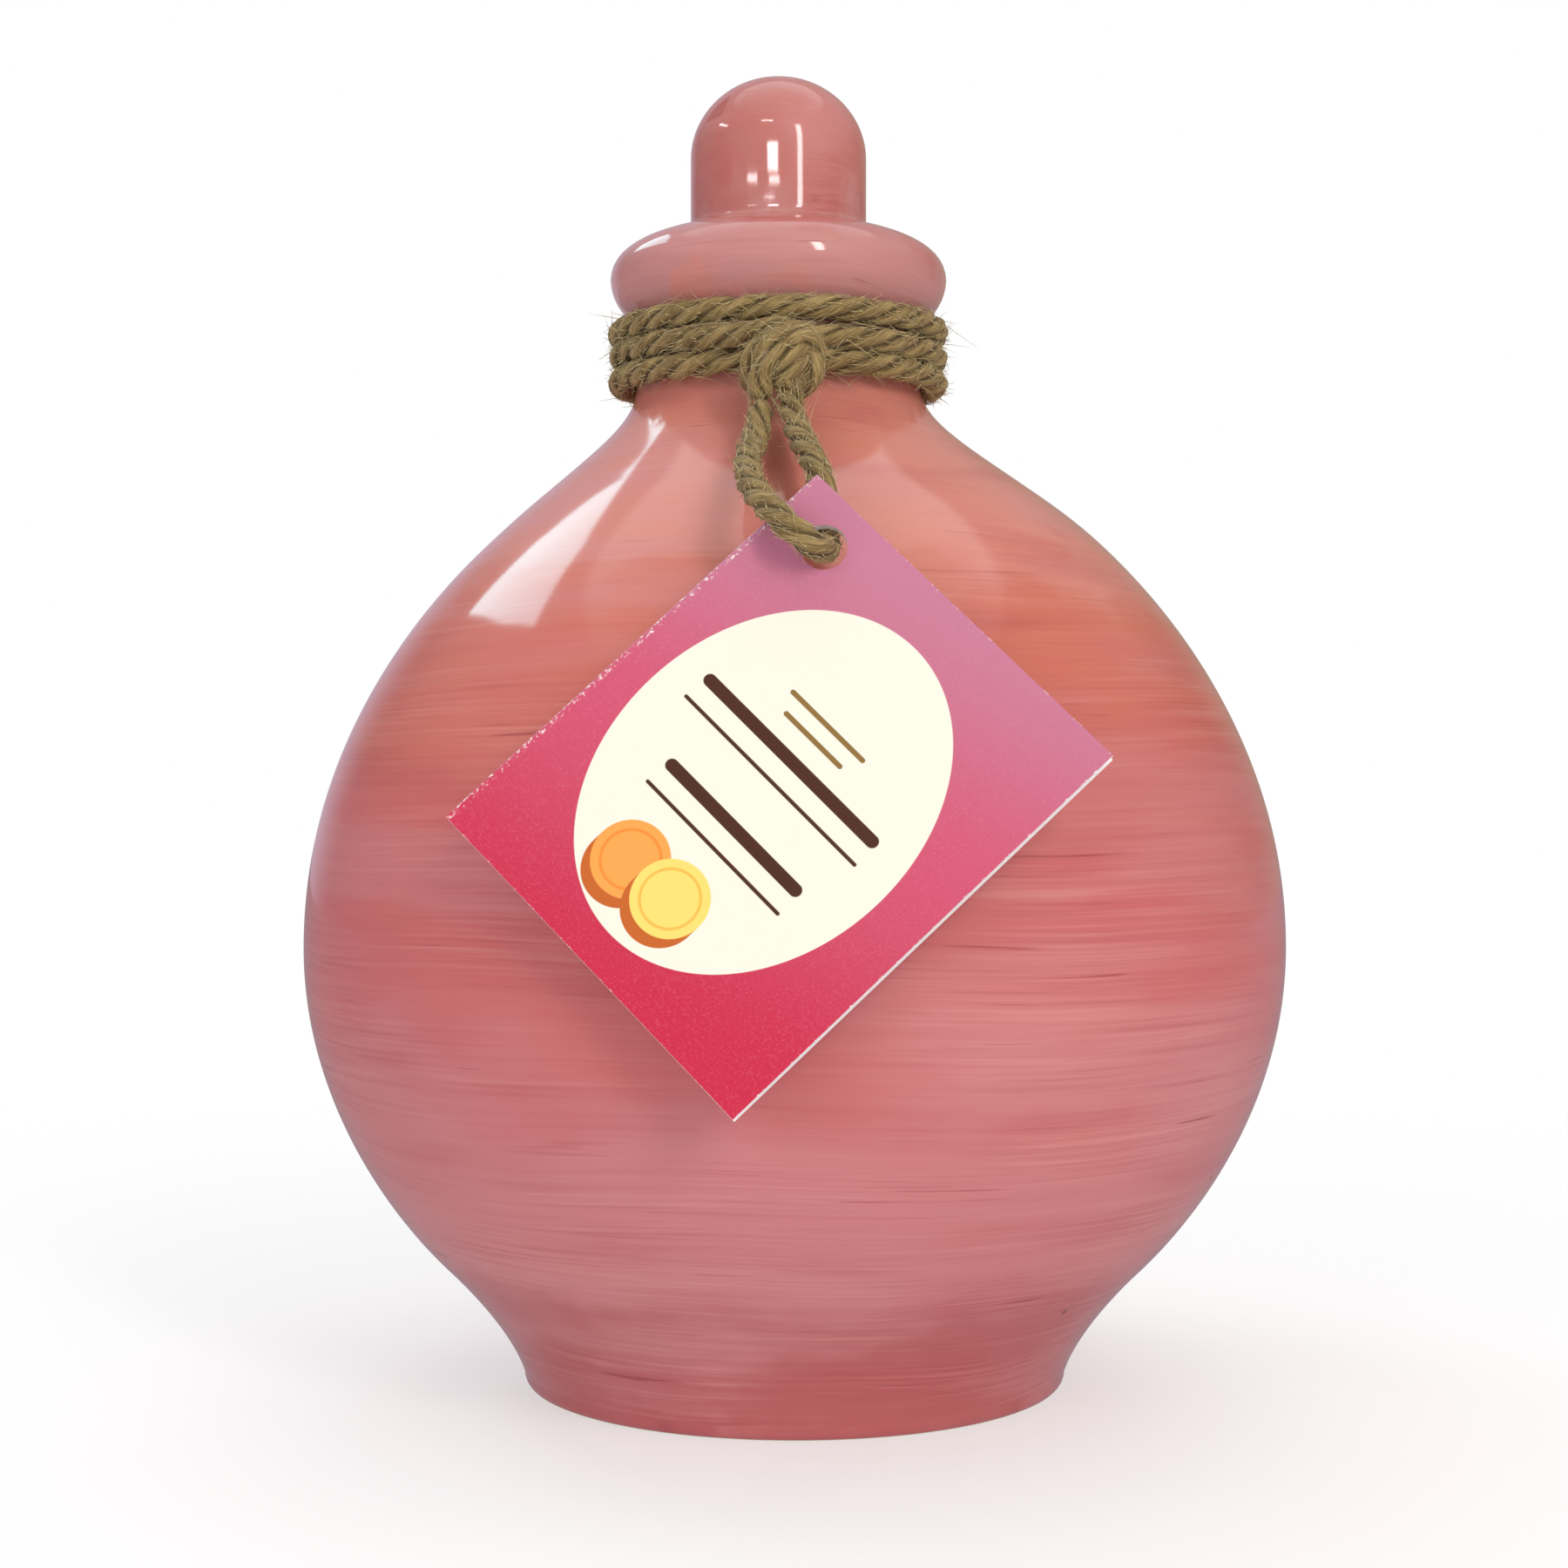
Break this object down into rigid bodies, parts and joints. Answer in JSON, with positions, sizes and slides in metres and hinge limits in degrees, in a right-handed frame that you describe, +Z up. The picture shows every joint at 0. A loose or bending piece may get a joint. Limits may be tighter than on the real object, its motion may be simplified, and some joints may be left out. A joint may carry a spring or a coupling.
{
  "type": "sealed earthenware money pot",
  "caption": "Round glazed money pot with a coin slot in its back, a domed knob, a knotted twine collar and a folded card tag on a loop.",
  "frame": {"origin": "centre of the flat base, on the surface that the pot stands on", "axes": "+Z up along the pot's axis, -Y the front with the tag, +Y the back with the coin slot"},
  "size_m": [0.1268, 0.1339, 0.17],
  "materials": {
    "pot_glaze": "clear glossy glaze over hand-brushed coral pink slip on earthenware",
    "jute_twine": "three-ply natural jute, hairy and matt",
    "tag_card": "printed white card with a satin coating, worn along the fold"
  },
  "bodies": {
    "pot": {"pot_lower_half": "pot_glaze", "pot_upper_half": "pot_glaze", "crown_knob": "pot_glaze", "twine_coil": "jute_twine", "twine_knot": "jute_twine"},
    "loop": {"twine_loop": "jute_twine"},
    "tag_back": {"tag_back_leaf": "tag_card"},
    "tag_front": {"tag_front_leaf": "tag_card"}
  },
  "joints": [
    {"name": "loop_swing", "type": "hinge", "parent": "pot", "child": "loop", "pos_m": [-0.0023, -0.029, 0.1245], "axis": [-1, 0, 0], "range_deg": [0, 70]},
    {"name": "tag_swivel", "type": "hinge", "parent": "loop", "child": "tag_back", "pos_m": [0.0031, -0.0544, 0.1035], "axis": [-0.0842, -0.9623, 0.2588], "range_deg": [-25, 25], "deforming": ["twine_loop"]},
    {"name": "tag_fold", "type": "hinge", "parent": "tag_back", "child": "tag_front", "pos_m": [-0.01758, -0.05554, 0.09262], "axis": [-0.724, -0.1194, -0.6794], "range_deg": [0, 30], "deforming": ["twine_loop"]}
  ]
}
